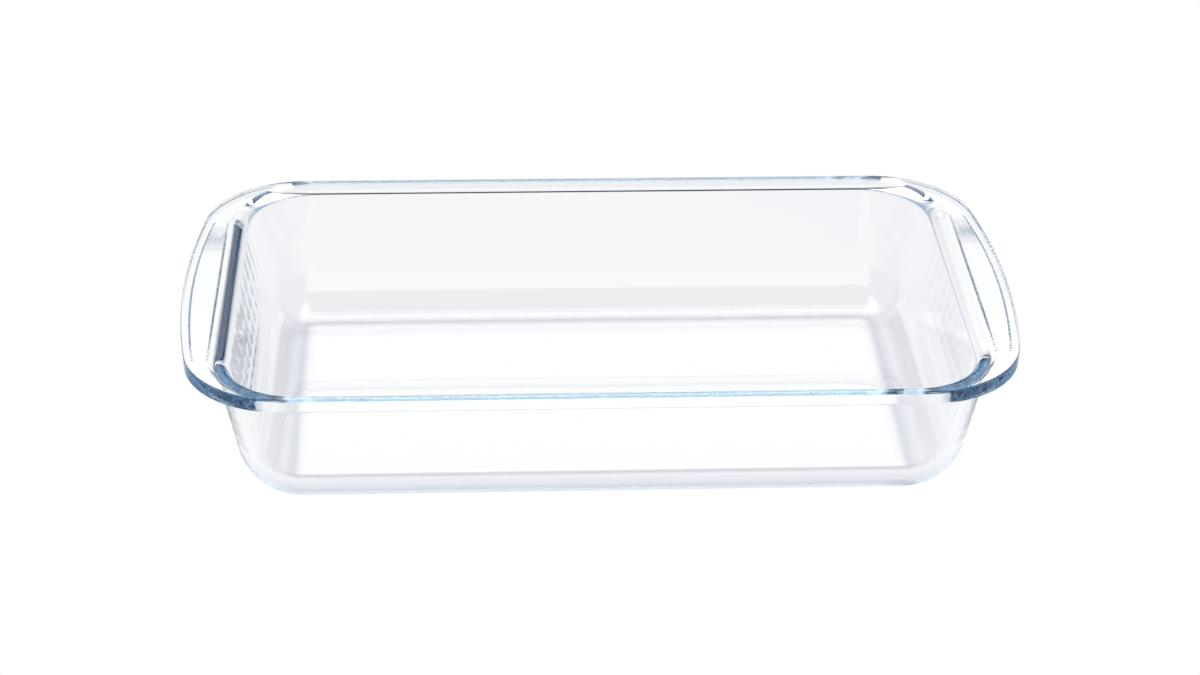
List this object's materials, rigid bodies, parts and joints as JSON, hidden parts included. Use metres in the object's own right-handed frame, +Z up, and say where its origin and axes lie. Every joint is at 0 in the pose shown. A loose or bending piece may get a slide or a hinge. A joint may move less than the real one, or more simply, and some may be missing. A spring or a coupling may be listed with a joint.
{
  "type": "glass baking dish",
  "caption": "Rectangular clear pressed-glass dish for an air fryer, with rounded corners, a rounded rim and a flat handle with a finger recess at each end.",
  "frame": {"origin": "middle of the underside, on the surface that the dish stands on", "axes": "+X along the dish from the left handle to the right one, +Y from the front long side to the back one, +Z up"},
  "size_m": [0.28, 0.1538, 0.049],
  "materials": {
    "clear_glass": "clear polished pressed glass, very slightly blue-green at its thick edges"
  },
  "bodies": {
    "root": {"base": "clear_glass", "front_wall": "clear_glass", "back_wall": "clear_glass", "left_wall": "clear_glass", "right_wall": "clear_glass", "front_left_corner": "clear_glass", "front_right_corner": "clear_glass", "back_left_corner": "clear_glass", "back_right_corner": "clear_glass", "front_rim": "clear_glass", "back_rim": "clear_glass", "front_left_rim_corner": "clear_glass", "front_right_rim_corner": "clear_glass", "back_left_rim_corner": "clear_glass", "back_right_rim_corner": "clear_glass", "left_handle": "clear_glass", "right_handle": "clear_glass"}
  },
  "joints": []
}
